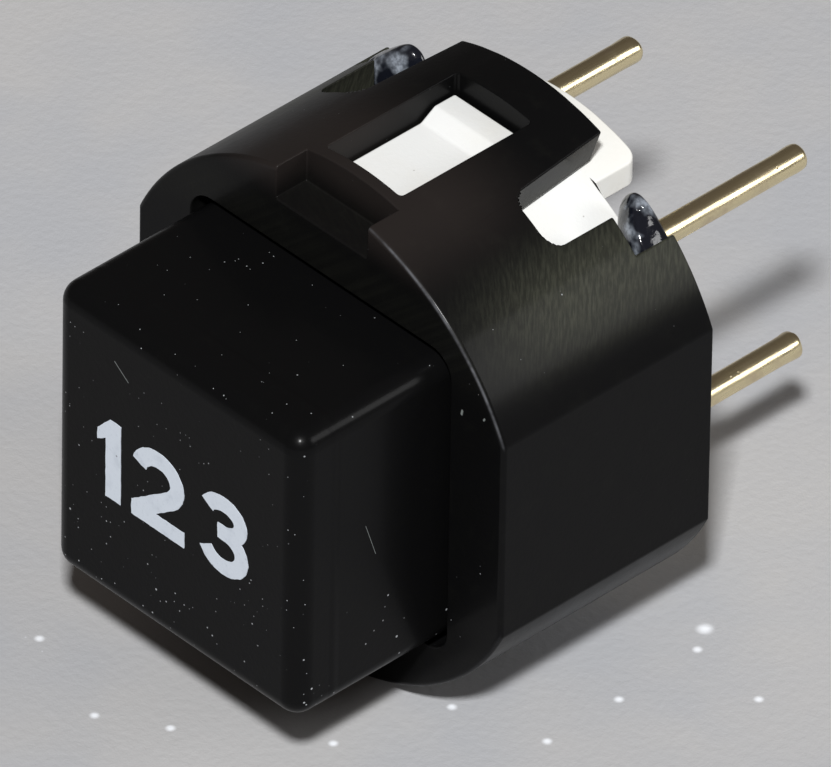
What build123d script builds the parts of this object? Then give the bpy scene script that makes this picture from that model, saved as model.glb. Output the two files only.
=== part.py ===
from build123d import *
import math
import os

# A momentary pushbutton switch for a circuit board, in millimetres.
# It is drawn standing on its board, button face up (+Z) and pins down, with the button's axis
# on Z and the barrel's front face at height 0. At the end every piece is laid down on the land
# under the barrel: the button then faces -Y, the pins point along +Y and +Z is up.

# Barrel, a black moulded cup that is open at the back
barrel_diameter = 12.4
across_flats = 11.3
shell_length = 6.1
shell_wall = 1.0
front_wall = 1.0
rim_edge_radius = 0.12

# Narrow flat land under the barrel, opposite the notch, on which it lies
land_width = 2.8

# Square opening in the front wall, and the notch that marks its top
cap_clearance = 0.2
opening_corner_radius = 0.6
front_notch_width = 2.8
front_notch_depth = 0.9

# Latch windows, slots in the rear rim and the stakes beside them
window_width = 2.3
window_front = 1.2
window_length = 3.8
tab_width = 4.8
slot_width = 1.25
slot_length = 2.85
slot_corner_radius = 0.35
stake_recess_depth = 1.1
stake_recess_arc = 9.0
stake_gap = 0.2

# Keycap
cap_width = 7.6
cap_protrusion = 4.15
cap_edge_radius = 0.5
cap_face_wall = 1.0
cap_side_wall = 0.8
cap_inner_radius = 0.5

# Plunger and its travel
travel = 0.9
flange_thickness = 0.9
flange_side_clearance = 0.25
flange_latch_clearance = 0.25
stem_clearance = 0.03
stem_top_gap = 0.2
stem_wall = 0.75
stem_floor = 0.4
web_thickness = 0.6
hub_radius = 1.95
neck_radius = 1.5
lip_overhang = 0.18
lip_height = 0.4
spring_bore_radius = 1.25
spring_bore_roof = 0.8

# Contact base, a white moulding pushed in from the back
base_clearance = 0.1
base_setback = 0.25
base_floor = 1.0
base_rim_wall = 0.7
base_rim_height = 1.75
spigot_radius = 0.8
spigot_height = 0.8
tongue_width = 4.4
tongue_thickness = 0.55
tongue_standoff = 1.05
tongue_corner_radius = 0.3

# Latch fingers of the base, seen in the windows
latch_side_clearance = 0.05
latch_end_clearance = 0.1
latch_thickness = 0.9
latch_depth_front = 0.85
latch_depth_rear = 0.6
latch_ramp = 0.4
latch_catch = 0.6
latch_relief_width = 0.25

# Terminal pins and contacts
pin_spacing = 5.08
pin_radius = 0.3
pin_shank_width = 0.7
pin_shank_stand = 0.2
pin_reach = 11.6
pin_tip_chamfer = 0.08
pin_fit_clearance = 0.02
pin_head_radius = 0.6
pin_head_height = 0.18
strip_thickness = 0.25
strip_width = 1.3
strip_pocket_clearance = 0.15
contact_gap = 0.02
bridge_thickness = 0.2
bridge_ring_radius = 2.45
bridge_arm_width = 2.0
bridge_arm_margin = 0.75
bridge_fit_clearance = 0.04
bump_radius = 0.45
bump_height = 0.25
bump_edge_chamfer = 0.08

# Return spring
wire_radius = 0.15
wire_sides = 6
coil_radius = 1.0
coil_pitch = 0.9
seat_gap = 0.02

# Sizes that follow from the ones above
barrel_radius = barrel_diameter / 2
land_depth = barrel_radius - math.sqrt(barrel_radius ** 2 - (land_width / 2) ** 2)
bore_radius = barrel_radius - shell_wall
flat_half = across_flats / 2
bore_flat_half = flat_half - shell_wall
opening_width = cap_width + 2 * cap_clearance
window_rear = window_front + window_length
slot_center = tab_width / 2 + slot_width / 2
slot_outer = tab_width / 2 + slot_width
base_rear = shell_length - base_setback
base_floor_front = base_rear - base_floor
base_rim_front = base_floor_front - base_rim_height
plug_radius = bore_radius - base_clearance
plug_flat_half = bore_flat_half - base_clearance
tongue_rear = shell_length + tongue_standoff
latch_half_width = window_width / 2 - latch_side_clearance
latch_outer_front = barrel_radius - latch_depth_front
latch_inner = latch_outer_front - latch_thickness
flange_rear = front_wall + flange_thickness
strip_front = base_floor_front - strip_thickness
bump_tip = strip_front - travel - contact_gap
bridge_rear = bump_tip - bump_height
bridge_front = bridge_rear - bridge_thickness
hub_end = bridge_rear + lip_height
cap_inner_width = cap_width - 2 * cap_side_wall
stem_width = cap_inner_width - 2 * stem_clearance
stem_top = cap_protrusion - cap_face_wall - stem_top_gap
hub_top = stem_top - stem_top_gap
spring_roof = hub_top - spring_bore_roof
pin_hole_width = pin_shank_width + 2 * pin_fit_clearance
pin_shank_end = base_rear + pin_shank_stand
pin_places = [(sx * pin_spacing / 2, sy * pin_spacing / 2) for sy in (1, -1) for sx in (-1, 1)]


def flatted_disc(radius, half_flat, top, bottom):
    """A disc with two flats, from height top down to height bottom."""
    face = Circle(radius) & Rectangle(2 * half_flat, 2 * radius)
    return Pos(0, 0, bottom) * extrude(face, top - bottom)


def square_bar(width, radius, top, bottom):
    """A square bar with rounded corners, from height top down to height bottom."""
    return Pos(0, 0, bottom) * extrude(RectangleRounded(width, width, radius), top - bottom)


def rod(radius, top, bottom):
    """A round rod on the Z axis, from height top down to height bottom."""
    return Pos(0, 0, (top + bottom) / 2) * Cylinder(radius, top - bottom)


def block(width, depth, top, bottom):
    """A rectangular block centred on the Z axis, from height top down to height bottom."""
    return Pos(0, 0, (top + bottom) / 2) * Box(width, depth, top - bottom)


def cross_cut(width, length, radius, top):
    """A rounded cutter through the whole barrel along Y, hanging down from height top."""
    face = Plane.XZ * RectangleRounded(width, length, radius)
    return Pos(0, 0, top - length / 2) * extrude(face, barrel_diameter, both=True)


def stake_recess():
    """The low stretch of rear rim beside the slot on the +X +Y side, as a cutter."""
    slot_angle = math.degrees(math.acos(slot_outer / barrel_radius))
    low, high = slot_angle - stake_recess_arc, slot_angle + stake_recess_arc
    reach = 2 * barrel_radius
    corners = [(reach * math.cos(math.radians(a)), reach * math.sin(math.radians(a))) for a in (low, high)]
    wedge = extrude(Polygon((0, 0), *corners, align=None), stake_recess_depth)
    keep_slot = Pos(slot_outer, 0, 0) * Box(barrel_radius, reach, stake_recess_depth,
                                            align=(Align.MIN, Align.MIN, Align.MIN))
    return Pos(0, 0, -shell_length) * (wedge & keep_slot)


def melted_stake():
    """The lump left of a melted stake, leaning over the recess on the +X +Y side."""
    slot_angle = math.degrees(math.acos(slot_outer / barrel_radius))
    middle = slot_angle - stake_recess_arc / 2
    span = barrel_radius * math.radians(stake_recess_arc)
    tall = stake_recess_depth - stake_gap
    outline = Polygon((-0.75 * span, 0), (0.05 * span, 0.05 * tall), (0.55 * span, 0.5 * tall),
                      (0.62 * span, 0.8 * tall), (0.25 * span, 0.98 * tall), (-0.75 * span, 0.85 * tall),
                      align=None)
    lump = extrude(outline, 0.9 * shell_wall)
    lump = fillet(lump.edges().filter_by(GeomType.LINE).group_by(Axis.Z)[-1], 0.12)
    angle = math.radians(middle)
    place = Plane(origin=(bore_radius * math.cos(angle), bore_radius * math.sin(angle),
                          -shell_length + stake_recess_depth - stake_gap),
                  x_dir=(-math.sin(angle), math.cos(angle), 0),
                  z_dir=(math.cos(angle), math.sin(angle), 0))
    return place * mirror(lump, Plane.XZ)


def four_ways(piece):
    """A piece and its mirror images in both upright planes through the axis."""
    pair = [piece, mirror(piece, Plane.YZ)]
    return pair + [mirror(p, Plane.XZ) for p in pair]


def housing_shell():
    shell = flatted_disc(barrel_radius, flat_half, 0, -shell_length)
    shell -= Pos(0, -barrel_radius, -shell_length / 2) * Box(barrel_diameter, 2 * land_depth, shell_length)
    shell = fillet(shell.faces().sort_by(Axis.Z)[-1].edges(), rim_edge_radius)
    shell -= flatted_disc(bore_radius, bore_flat_half, -front_wall, -shell_length)
    shell -= square_bar(opening_width, opening_corner_radius, 0, -front_wall)
    notch = Pos(0, bore_radius, 0) * Box(front_notch_width, 2 * shell_wall, front_notch_depth,
                                         align=(Align.CENTER, Align.MIN, Align.MAX))
    shell -= notch
    shell -= cross_cut(window_width, window_length, 0.1, -window_front)
    for side in (1, -1):
        slot = cross_cut(slot_width, slot_length + shell_length, slot_corner_radius,
                         slot_length - shell_length)
        shell -= Pos(side * slot_center, 0, 0) * slot
    for recess in four_ways(stake_recess()):
        shell -= recess
    for stake in four_ways(melted_stake()):
        shell += stake
    return shell


def keycap():
    cap = square_bar(cap_width, cap_edge_radius, cap_protrusion, -front_wall)
    cap = fillet(cap.faces().sort_by(Axis.Z)[-1].edges(), cap_edge_radius * 0.98)
    return cap - square_bar(cap_inner_width, cap_inner_radius, cap_protrusion - cap_face_wall, -front_wall)


def plunger():
    flange = flatted_disc(plug_radius - flange_side_clearance, plug_flat_half - flange_side_clearance,
                          -front_wall, -flange_rear)
    for side in (1, -1):
        inner = latch_inner - flange_latch_clearance
        relief = Box(2 * (latch_half_width + flange_latch_clearance), barrel_radius, flange_thickness)
        flange -= Pos(0, side * (inner + barrel_radius / 2), -front_wall - flange_thickness / 2) * relief
    stem = square_bar(stem_width, cap_inner_radius, stem_top, -front_wall)
    pocket = square_bar(stem_width - 2 * stem_wall, cap_inner_radius, stem_top, -front_wall + stem_floor)
    webs = block(stem_width - stem_wall, web_thickness, hub_top, -front_wall)
    webs += block(web_thickness, stem_width - stem_wall, hub_top, -front_wall)
    body = flange + (stem - pocket) + webs + rod(hub_radius, hub_top, -bridge_front)
    body += rod(neck_radius, -flange_rear, -hub_end)
    body += rod(neck_radius + lip_overhang, -bridge_rear, -hub_end)
    return body - rod(spring_bore_radius, spring_roof, -hub_end)


def return_spring():
    low = -base_floor_front + wire_radius + seat_gap
    high = spring_roof - wire_radius - seat_gap
    turns = max(2, round((high - low) / coil_pitch))
    path = Helix(pitch=(high - low) / turns, height=high - low, radius=coil_radius)
    section = Plane(origin=path @ 0, z_dir=path % 0) * RegularPolygon(wire_radius, wire_sides)
    return Pos(0, 0, low) * sweep(section, path, is_frenet=True)


def latch_finger():
    """The finger in the window on the +Y side, its outline seen from the side."""
    front = -window_front - latch_end_clearance
    rear = -window_rear + latch_end_clearance
    top, raised = latch_outer_front, barrel_radius - latch_depth_rear
    outline = Polygon((latch_inner, -base_rear), (latch_inner, front), (top, front),
                      (top, rear + latch_catch + latch_ramp), (raised, rear + latch_catch),
                      (raised, rear), (latch_inner + latch_thickness / 2, rear),
                      (latch_inner + latch_thickness / 2, -base_rear), align=None)
    return extrude(Plane.YZ * outline, latch_half_width, both=True)


def contact_base():
    base = flatted_disc(plug_radius, plug_flat_half, -base_rim_front, -base_rear)
    base -= flatted_disc(plug_radius - base_rim_wall, plug_flat_half - base_rim_wall,
                         -base_rim_front, -base_floor_front)
    relief = block(2 * (latch_half_width + latch_relief_width), barrel_diameter,
                   -base_rim_front, -base_floor_front)
    base -= relief
    for finger in (latch_finger(), mirror(latch_finger(), Plane.XZ)):
        base += finger
    ring = rod(plug_radius, -base_rear, -tongue_rear) - rod(plug_radius - tongue_thickness,
                                                           -base_rear, -tongue_rear)
    tongue_length = tongue_rear - base_floor_front
    base += ring & cross_cut(tongue_width, tongue_length, tongue_corner_radius, -base_floor_front)
    base += rod(spigot_radius, -base_floor_front + spigot_height, -base_floor_front)
    pocket = Rot(0, 0, 90) * SlotCenterToCenter(pin_spacing, strip_width + 2 * strip_pocket_clearance)
    for side in (1, -1):
        base -= Pos(side * pin_spacing / 2, 0, -base_floor_front) * extrude(pocket, base_rim_height)
    for x, y in pin_places:
        base -= Pos(x, y, 0) * block(pin_hole_width, pin_hole_width, -base_floor_front, -base_rear)
    return base


def terminal_pin(x, y):
    """A pin: a round head on the contact strip, a square shank in the base and a round free end."""
    wire = rod(pin_radius, -pin_shank_end, -pin_reach)
    wire = chamfer(wire.faces().sort_by(Axis.Z)[0].edges(), pin_tip_chamfer)
    shank = block(pin_shank_width, pin_shank_width, -strip_front, -pin_shank_end)
    head = rod(pin_head_radius, -strip_front + pin_head_height, -strip_front)
    return Pos(x, y, 0) * (wire + shank + head)


def contact_strip(side):
    face = Rot(0, 0, 90) * SlotCenterToCenter(pin_spacing, strip_width)
    strip = Pos(side * pin_spacing / 2, 0, -base_floor_front) * extrude(face, strip_thickness)
    for x, y in pin_places:
        strip -= Pos(x, y, 0) * block(pin_hole_width, pin_hole_width, -strip_front, -base_floor_front)
    return strip


def contact_bridge():
    plate = rod(bridge_ring_radius, -bridge_front, -bridge_rear)
    plate += block(pin_spacing + 2 * bridge_arm_margin, bridge_arm_width, -bridge_front, -bridge_rear)
    for side in (1, -1):
        bump = rod(bump_radius, -bridge_rear, -bump_tip)
        bump = chamfer(bump.faces().sort_by(Axis.Z)[0].edges(), bump_edge_chamfer)
        plate += Pos(side * pin_spacing / 2, 0, 0) * bump
    return plate - rod(neck_radius + bridge_fit_clearance, -bridge_front, -bridge_rear)


def lay_down(piece):
    """Lays a piece on the barrel's land, with the whole box centred on X and Y and standing on Z = 0."""
    middle = (pin_reach - cap_protrusion) / 2
    return Pos(0, -middle, barrel_radius - land_depth) * Rot(90, 0, 0) * piece


nodes = {
    "housing_shell": housing_shell(),
    "keycap": keycap(),
    "plunger": plunger(),
    "return_spring": return_spring(),
    "contact_base": contact_base(),
    "contact_bridge": contact_bridge(),
    "contact_strip_left": contact_strip(-1),
    "contact_strip_right": contact_strip(1),
}
for number, (pin_x, pin_y) in enumerate(pin_places, 1):
    nodes[f"terminal_pin_{number}"] = terminal_pin(pin_x, pin_y)

os.makedirs("parts", exist_ok=True)
for name, piece in nodes.items():
    export_step(lay_down(piece), f"parts/{name}.step")
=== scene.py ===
import logging
import math
from dataclasses import dataclass
from enum import Enum
from typing import Optional, Sequence, Union

import bmesh
import bpy
from mathutils import Matrix, Vector, noise


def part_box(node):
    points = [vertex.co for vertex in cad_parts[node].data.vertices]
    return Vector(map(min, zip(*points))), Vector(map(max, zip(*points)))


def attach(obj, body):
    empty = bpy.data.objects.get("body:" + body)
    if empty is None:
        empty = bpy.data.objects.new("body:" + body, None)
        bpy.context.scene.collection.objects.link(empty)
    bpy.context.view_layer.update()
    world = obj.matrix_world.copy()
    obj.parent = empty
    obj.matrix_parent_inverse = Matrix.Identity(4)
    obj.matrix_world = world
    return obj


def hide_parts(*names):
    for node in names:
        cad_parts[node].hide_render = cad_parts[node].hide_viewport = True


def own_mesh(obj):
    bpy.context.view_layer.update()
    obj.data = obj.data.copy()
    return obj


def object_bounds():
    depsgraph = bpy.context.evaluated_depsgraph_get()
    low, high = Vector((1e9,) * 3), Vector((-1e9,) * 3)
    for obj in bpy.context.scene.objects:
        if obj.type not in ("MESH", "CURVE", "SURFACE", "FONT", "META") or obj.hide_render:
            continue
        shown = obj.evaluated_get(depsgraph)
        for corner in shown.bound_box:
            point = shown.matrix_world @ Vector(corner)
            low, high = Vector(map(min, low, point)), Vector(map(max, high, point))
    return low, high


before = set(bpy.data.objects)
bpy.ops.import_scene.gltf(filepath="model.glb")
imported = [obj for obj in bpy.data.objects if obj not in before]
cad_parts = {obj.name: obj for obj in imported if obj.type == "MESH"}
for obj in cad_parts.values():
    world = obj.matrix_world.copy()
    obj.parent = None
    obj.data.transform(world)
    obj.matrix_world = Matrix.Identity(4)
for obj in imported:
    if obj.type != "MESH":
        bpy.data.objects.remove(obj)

log = logging.getLogger("pushbutton")
MM = 0.001
CAD_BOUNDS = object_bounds()

Point = tuple[float, float]
Place = tuple[float, float, float]
Colour = tuple[float, float, float]


class Body(Enum):
    """The bodies that the pieces ride on."""

    HOUSING = "housing"
    BUTTON = "button"


class Axis(Enum):
    """The direction in which a flat outline is drawn out into a solid."""

    ACROSS = "x"
    BARREL = "y"
    UPRIGHT = "z"

    def place(self, first: float, second: float, height: float) -> Place:
        """Returns the point in space of an outline's point at a height along this axis."""
        if self is Axis.ACROSS:
            return (height, first, second)
        if self is Axis.BARREL:
            return (first, height, second)
        return (first, second, height)


class Join(Enum):
    """What a tool does to a blank."""

    CUT = "DIFFERENCE"
    ADD = "UNION"
    KEEP = "INTERSECT"


@dataclass(frozen=True)
class Datum:
    """Where the barrel's axis meets its front face, in metres in the row frame."""

    x: float
    y: float
    z: float

    @classmethod
    def read(cls) -> "Datum":
        """Finds the point from the boxes of the keycap and the shell."""
        low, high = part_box("keycap")
        return cls((low.x + high.x) / 2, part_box("housing_shell")[0].y, (low.z + high.z) / 2)

    def matrix(self) -> Matrix:
        """The step from millimetres about the datum to metres in the row frame."""
        return Matrix.Translation((self.x, self.y, self.z)) @ Matrix.Scale(MM, 4)

    def box(self, node: str) -> tuple[Vector, Vector]:
        """Returns a CAD node's box in millimetres about the datum."""
        back = self.matrix().inverted()
        low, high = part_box(node)
        return back @ low, back @ high


DATUM = Datum.read()


# Flat outlines

def arc(centre: Point, radius: float, start: float, end: float, steps: int) -> list[Point]:
    """Returns points on an arc.

    Args:
        centre: The arc's centre.
        radius: Its radius.
        start: The angle of its first point, in degrees.
        end: The angle of its last point, in degrees.
        steps: The number of chords.
    """
    angles = [math.radians(start + (end - start) * k / steps) for k in range(steps + 1)]
    return [(centre[0] + radius * math.cos(a), centre[1] + radius * math.sin(a)) for a in angles]


def rounded_box(width: float, height: float, radius: float, steps: int = 6,
                centre: Point = (0.0, 0.0)) -> list[Point]:
    """Returns a rectangle with rounded corners, anticlockwise from its right side."""
    points: list[Point] = []
    for turn, (sx, sy) in enumerate(((1, 1), (-1, 1), (-1, -1), (1, -1))):
        corner = (centre[0] + sx * (width / 2 - radius), centre[1] + sy * (height / 2 - radius))
        points += arc(corner, radius, 90 * turn, 90 * turn + 90, steps)
    return points


def flatted_disc(radius: float, half_flat: float, steps: int, cuts: Sequence[float] = (),
                 inset: float = 0.0) -> list[Point]:
    """Returns the outline of a disc with a flat on its left and right.

    Args:
        radius: The disc's radius.
        half_flat: Half the distance across the flats.
        steps: The chords of the upper arc, and of the lower.
        cuts: Distances from the middle at which a cut crosses the arcs. No point lies near them.
        inset: How far the whole outline is drawn in.
    """
    corner = math.acos(half_flat / radius)
    step = (math.pi - 2 * corner) / steps
    crossings = [math.acos(side * c / radius) for c in cuts for side in (1, -1)]
    angles = [corner + step * k for k in range(1, steps)]
    angles = [a for a in angles if all(abs(a - c) > 0.4 * step for c in crossings)]
    angles = [corner, *angles, math.pi - corner]
    drawn_in = math.acos((half_flat - inset) / (radius - inset))
    share = (math.pi / 2 - drawn_in) / (math.pi / 2 - corner)
    upper = [math.pi / 2 + (a - math.pi / 2) * share for a in angles]
    ring = [((radius - inset) * math.cos(a), (radius - inset) * math.sin(a)) for a in upper]
    return ring + [(-x, -y) for x, y in ring]


def ribbon(line: Sequence[Point], width: float) -> list[Point]:
    """Returns the outline of a stroke of even width drawn along a line of points."""
    left, right = [], []
    for k, (x, y) in enumerate(line):
        before, after = line[max(k - 1, 0)], line[min(k + 1, len(line) - 1)]
        along = Vector((after[0] - before[0], after[1] - before[1])).normalized()
        left.append((x - along.y * width / 2, y + along.x * width / 2))
        right.append((x + along.y * width / 2, y - along.x * width / 2))
    return right + left[::-1]


def mirrored(outline: Sequence[Point], flip_first: bool, flip_second: bool) -> list[Point]:
    """Returns an outline mirrored in either direction."""
    return [(-x if flip_first else x, -y if flip_second else y) for x, y in outline]


# Solids in millimetres about the datum

def added(name: str, data: bpy.types.ID) -> bpy.types.Object:
    """Adds an object to the scene."""
    obj = bpy.data.objects.new(name, data)
    bpy.context.scene.collection.objects.link(obj)
    return obj


def opened(mesh: bpy.types.Mesh, merge: float, flat: float) -> bmesh.types.BMesh:
    """Opens a mesh, with points closer than merge merged and faces within flat degrees joined."""
    shape = bmesh.new()
    shape.from_mesh(mesh)
    bmesh.ops.remove_doubles(shape, verts=shape.verts, dist=merge)
    bmesh.ops.dissolve_limit(shape, angle_limit=math.radians(flat), verts=shape.verts,
                             edges=shape.edges)
    return shape


def closed(shape: bmesh.types.BMesh, mesh: bpy.types.Mesh) -> bpy.types.Mesh:
    """Writes an open shape into a mesh and returns the mesh."""
    shape.to_mesh(mesh)
    shape.free()
    return mesh


class Blank:
    """A closed solid that other solids cut and join, in millimetres about the datum."""

    def __init__(self, name: str, mesh: bpy.types.Mesh) -> None:
        self.obj = added(name, mesh)

    @classmethod
    def lofted(cls, name: str, rings: Sequence[Sequence[Place]]) -> "Blank":
        """Makes a solid through rings of equally many points, closed at its first and last ring."""
        shape = bmesh.new()
        rows = [[shape.verts.new(p) for p in ring] for ring in rings]
        for low, high in zip(rows, rows[1:]):
            for k, vert in enumerate(low):
                after = (k + 1) % len(low)
                shape.faces.new((vert, low[after], high[after], high[k]))
        shape.faces.new(rows[0][::-1])
        shape.faces.new(rows[-1])
        bmesh.ops.remove_doubles(shape, verts=shape.verts, dist=1e-5)
        bmesh.ops.dissolve_degenerate(shape, edges=shape.edges, dist=1e-6)
        bmesh.ops.recalc_face_normals(shape, faces=shape.faces)
        return cls(name, closed(shape, bpy.data.meshes.new(name)))

    @classmethod
    def drawn(cls, name: str, outline: Sequence[Point], low: float, high: float,
              axis: Axis = Axis.BARREL) -> "Blank":
        """Draws an outline out along an axis, from one height to another."""
        rings = [[axis.place(a, b, height) for a, b in outline] for height in (low, high)]
        return cls.lofted(name, rings)

    def use(self, join: Join, *tools: "Blank") -> "Blank":
        """Cuts or joins other solids with this one, and uses them up."""
        for tool in tools:
            step = self.obj.modifiers.new("join", "BOOLEAN")
            step.operation, step.solver, step.object = join.value, "EXACT", tool.obj
        self.apply()
        for tool in tools:
            bpy.data.objects.remove(tool.obj)
        return self

    def apply(self) -> "Blank":
        """Turns the modifiers into a plain mesh."""
        bpy.context.view_layer.update()
        graph = bpy.context.evaluated_depsgraph_get()
        mesh = bpy.data.meshes.new_from_object(self.obj.evaluated_get(graph), depsgraph=graph)
        self.obj.modifiers.clear()
        self.obj.data = mesh
        return self

    def tidy(self, merge: float = 0.004, flat: float = 0.6) -> "Blank":
        """Merges points closer than merge, and joins faces that lie within flat degrees."""
        closed(opened(self.obj.data, merge, flat), self.obj.data)
        return self

    def round_edges(self, width: float, angle: float = 20.0) -> "Blank":
        """Rounds each edge sharper than angle degrees, by width."""
        bevel = self.obj.modifiers.new("round", "BEVEL")
        bevel.width, bevel.segments = width, 2
        bevel.limit_method, bevel.angle_limit = "ANGLE", math.radians(angle)
        bevel.use_clamp_overlap = False
        return self

    def shade(self) -> "Blank":
        """Shades the solid smooth, with flat faces kept flat."""
        self.apply()
        self.obj.data.shade_smooth()
        weighted = self.obj.modifiers.new("shade", "WEIGHTED_NORMAL")
        weighted.weight = 50
        return self.apply()


@dataclass
class Piece:
    """A finished piece of the object.

    Attributes:
        name: The piece's name.
        body: The body that it rides on.
        slot: A material slot's name; not used.
        finish: Its material.
        nodes: The CAD nodes that it stands for.
    """

    name: str
    body: Body
    slot: str
    finish: bpy.types.Material
    nodes: tuple[str, ...] = ()

    def settle(self, blank: Blank) -> bpy.types.Object:
        """Puts a blank in its place in the row frame, dresses it and lets it ride."""
        obj = blank.obj
        obj.data.transform(DATUM.matrix())
        obj.name = self.name
        obj.data.name = self.name
        obj.data.materials.clear()
        obj.data.materials.append(self.finish)
        obj.data.update()
        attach(obj, self.body.value)
        if self.nodes:
            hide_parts(*self.nodes)
        log.info("%s: %d faces, rides on %s", self.name, len(obj.data.polygons), self.body.value)
        return obj


# Node trees

Number = Union["Wire", float]
Value = Union["Wire", float, tuple]
Sockets = dict[Union[str, int], object]
Settings = dict[str, object]


class Wire:
    """A node's output that takes part in Python sums."""

    def __init__(self, owner: "Tree", socket: bpy.types.NodeSocket) -> None:
        self.owner, self.socket = owner, socket

    def maths(self, operation: str, *others: Number) -> "Wire":
        """Returns the result of one Math node that starts with this value."""
        return self.owner.out("ShaderNodeMath", {"operation": operation},
                              dict(enumerate((self, *others))))

    def __add__(self, other: Number) -> "Wire":
        return self.maths("ADD", other)

    def __sub__(self, other: Number) -> "Wire":
        return self.maths("SUBTRACT", other)

    def __rsub__(self, other: float) -> "Wire":
        return self.maths("MULTIPLY_ADD", -1.0, other)

    def __mul__(self, other: Number) -> "Wire":
        return self.maths("MULTIPLY", other)

    def __truediv__(self, other: Number) -> "Wire":
        return self.maths("DIVIDE", other)

    __radd__, __rmul__ = __add__, __mul__

    def power(self, exponent: float) -> "Wire":
        """Returns this value raised to an exponent."""
        return self.maths("POWER", exponent)

    def absolute(self) -> "Wire":
        """Returns this value without its sign."""
        return self.maths("ABSOLUTE")

    def lesser(self, other: Number) -> "Wire":
        """Returns the smaller of two values."""
        return self.maths("MINIMUM", other)

    def greater(self, other: Number) -> "Wire":
        """Returns the larger of two values."""
        return self.maths("MAXIMUM", other)

    def rise(self, low: float, high: float) -> "Wire":
        """Returns a smooth step from 0 at low to 1 at high; high may be the smaller."""
        ends = {"From Min": min(low, high), "From Max": max(low, high)}
        step = self.owner.out("ShaderNodeMapRange", {"interpolation_type": "SMOOTHSTEP"},
                              {"Value": self, **ends}, "Result")
        return step if high > low else 1.0 - step


class Tree:
    """A node tree, of a material or of Geometry Nodes."""

    def __init__(self, tree: bpy.types.NodeTree) -> None:
        self.tree = tree

    def node(self, kind: str, settings: Optional[Settings] = None,
             sockets: Optional[Sockets] = None) -> bpy.types.Node:
        """Adds one node.

        Args:
            kind: The node's type.
            settings: Its settings, such as a Math node's operation.
            sockets: Values or links of its input sockets.

        Returns:
            The node.
        """
        made = self.tree.nodes.new(kind)
        for key, value in (settings or {}).items():
            setattr(made, key, value)
        for key, value in (sockets or {}).items():
            if isinstance(value, Wire):
                self.tree.links.new(value.socket, made.inputs[key])
            else:
                made.inputs[key].default_value = value
        return made

    def out(self, kind: str, settings: Optional[Settings] = None,
            sockets: Optional[Sockets] = None, output: Union[str, int] = 0) -> Wire:
        """Adds one node and returns one of its outputs."""
        return Wire(self, self.node(kind, settings, sockets).outputs[output])

    def vector(self, operation: str, first: Value, second: Optional[Value] = None,
               output: str = "Vector") -> Wire:
        """Returns the result of one Vector Math node."""
        sockets: Sockets = {0: first}
        if second is not None:
            sockets["Scale" if operation == "SCALE" else 1] = second
        return self.out("ShaderNodeVectorMath", {"operation": operation}, sockets, output)


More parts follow.
